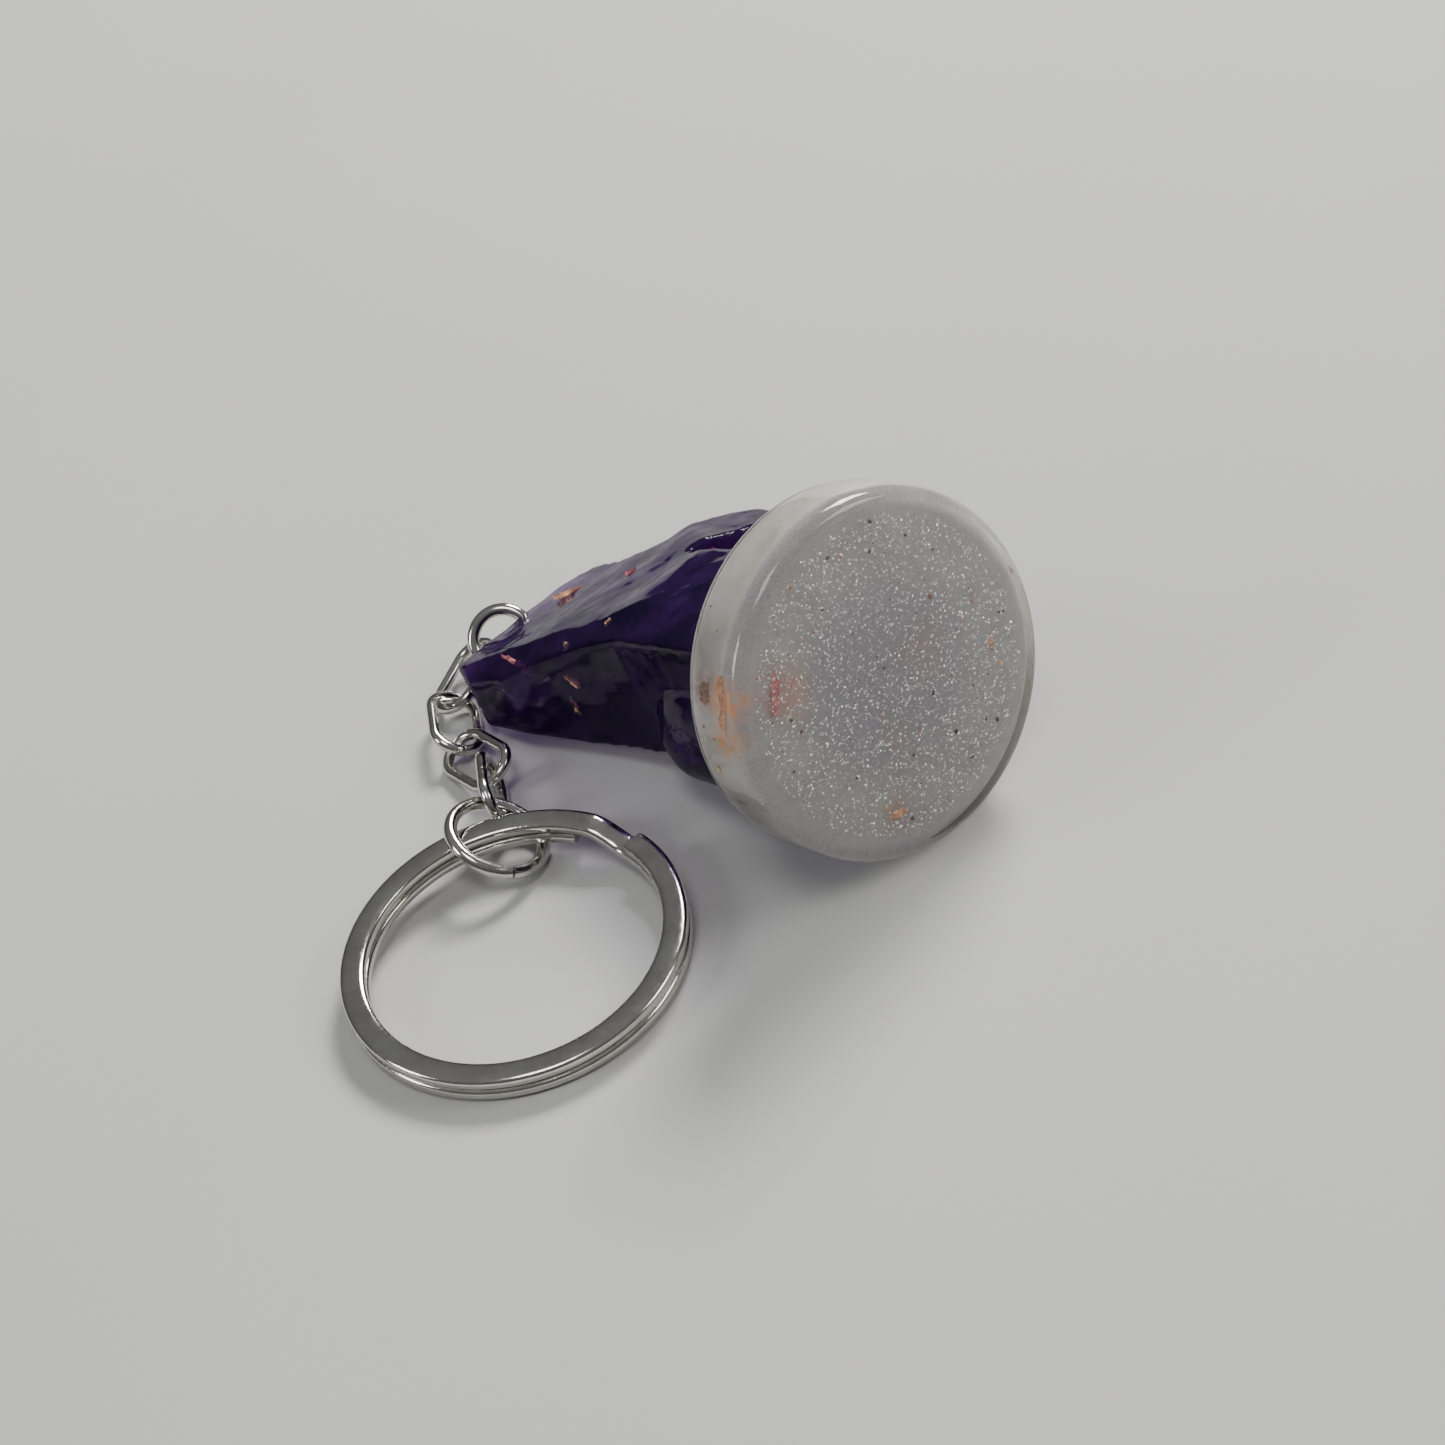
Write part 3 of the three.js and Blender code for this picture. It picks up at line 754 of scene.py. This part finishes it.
# each flake lies just under the skin, seen from the open side; its size, lean and colour
side_right = Vector((1, 0, 0)) - OPEN_SIDE * OPEN_SIDE.x
side_ahead = OPEN_SIDE.cross(side_right)
HEAD_LEAVES = [
    ((3.0, 0.6), -22, 0.10, COPPER), ((0.7, 0.6), 40, 0.12, GOLD), ((0.6, 1.3), 10, 0.12, COPPER),
    ((0.5, 1.4), -15, 0.12, GOLD), ((0.4, 2.6), 25, 0.15, PINK), ((1.1, 0.6), -20, 0.10, PINK),
    ((0.7, 0.5), 20, 0.10, GOLD), ((0.9, 0.5), 0, 0.10, COPPER),
]
for i, (size, lean, crumple, material) in enumerate(HEAD_LEAVES):
    node = f"head_foil_{i + 1}"
    turn = Matrix.Rotation(math.radians(lean), 3, OPEN_SIDE)
    leaf(f"head_leaf_{i + 1}", under_skin(middle_of(node), 0.28), turn @ side_right, turn @ side_ahead, size,
         crumple, material, 40 + i, node)
# in the foot, three stand just inside the side wall and three lie under the glitter: each one's size,
# its shift along the rim or over the face, and its colour
BASE_LEAVES = [
    ((1.5, 1.2), (0.0, 0.0), BROWN), ((4.2, 0.8), (0.17, -0.5), COPPER), ((0.7, 0.5), (0.0, 0.0), GOLD),
    ((3.0, 0.7), (-0.9, -0.7), PINK), ((1.5, 0.5), (0.0, 0.0), COPPER), ((0.5, 0.4), (0.0, 0.0), COPPER),
]
for i, (size, shift, material) in enumerate(BASE_LEAVES):
    node = f"base_foil_{i + 1}"
    at = middle_of(node)
    if i < 3:
        angle = math.atan2(at.y, at.x) + shift[0]
        around = Vector((-math.sin(angle), math.cos(angle), 0))
        at = Vector((RIM_LEAF_R * math.cos(angle), RIM_LEAF_R * math.sin(angle), at.z + shift[1]))
        leaf(f"base_leaf_{i + 1}", at, around, Vector((0, 0, 1)), size, 0.02, material, 70 + i, node)
    else:
        at = Vector((at.x + shift[0], at.y + shift[1], FACE_LEAF_Z))
        right = Vector((-0.49, 0.87, 0)) if i == 3 else Vector((1, 0.2, 0))
        ahead = Vector((0, 0, 1)).cross(right)
        leaf(f"base_leaf_{i + 1}", at, right, ahead, size, 0.05, material, 70 + i, node)

# ---- floor, lights, camera ----------------------------------------------------------------------
floor = piece("table_paper", [(-3, -3, 0), (3, -3, 0), (3, 3, 0), (-3, 3, 0)], [(0, 1, 2, 3)], paper(),
              smooth=False)


def area(name, at, size, power, colour):
    light = bpy.data.lights.new(name, "AREA")
    light.shape = "RECTANGLE"
    light.size, light.size_y = size
    light.energy = power
    light.color = colour
    obj = bpy.data.objects.new(name, light)
    obj.location = at
    obj.rotation_mode = "QUATERNION"
    obj.rotation_quaternion = (Vector(at) * -1).to_track_quat("-Z", "Y")
    bpy.context.scene.collection.objects.link(obj)


area("back_window", (0.26, 0.40, 0.42), (0.20, 0.18), 5.4, (1.0, 0.99, 0.96))
area("right_window", (0.46, -0.08, 0.34), (0.20, 0.20), 0.9, (1.0, 0.99, 0.97))
area("left_window", (-0.48, -0.06, 0.30), (0.14, 0.20), 0.8, (0.97, 0.98, 1.0))
area("ceiling", (-0.05, -0.16, 0.60), (0.20, 0.20), 0.8, (1.0, 0.99, 0.97))

sky = bpy.data.worlds.new("studio")
sky.use_nodes = True
bpy.context.scene.world = sky
tree = sky.node_tree
gradient = tree.nodes.new("ShaderNodeTexGradient")
place = tree.nodes.new("ShaderNodeMapping")
place.inputs["Rotation"].default_value = (0, math.radians(90), 0)
coords = tree.nodes.new("ShaderNodeTexCoord")
ramp = tree.nodes.new("ShaderNodeValToRGB")
ramp.color_ramp.elements[0].position = 0.0
ramp.color_ramp.elements[0].color = (0.07, 0.07, 0.07, 1)
ramp.color_ramp.elements[1].position = 0.9
ramp.color_ramp.elements[1].color = (0.35, 0.36, 0.37, 1)
tree.links.new(coords.outputs["Generated"], place.inputs["Vector"])
tree.links.new(place.outputs["Vector"], gradient.inputs["Vector"])
tree.links.new(gradient.outputs["Fac"], ramp.inputs["Fac"])
tree.links.new(ramp.outputs["Color"], tree.nodes["Background"].inputs["Color"])
tree.nodes["Background"].inputs["Strength"].default_value = 0.6

lens = bpy.data.cameras.new("camera")
lens.lens, lens.sensor_width = 72.25, 36
lens.clip_start, lens.clip_end = 0.01, 10
camera = bpy.data.objects.new("camera", lens)
right = Vector((0.9573, -0.1858, -0.2213))
above = Vector((0.289, 0.6156, 0.7331))
camera.matrix_world = (Matrix.Translation(world((0.53, -157.82, 135.92)))
                       @ Matrix((right, above, right.cross(above))).transposed().to_4x4())
bpy.context.scene.collection.objects.link(camera)
bpy.context.scene.camera = camera
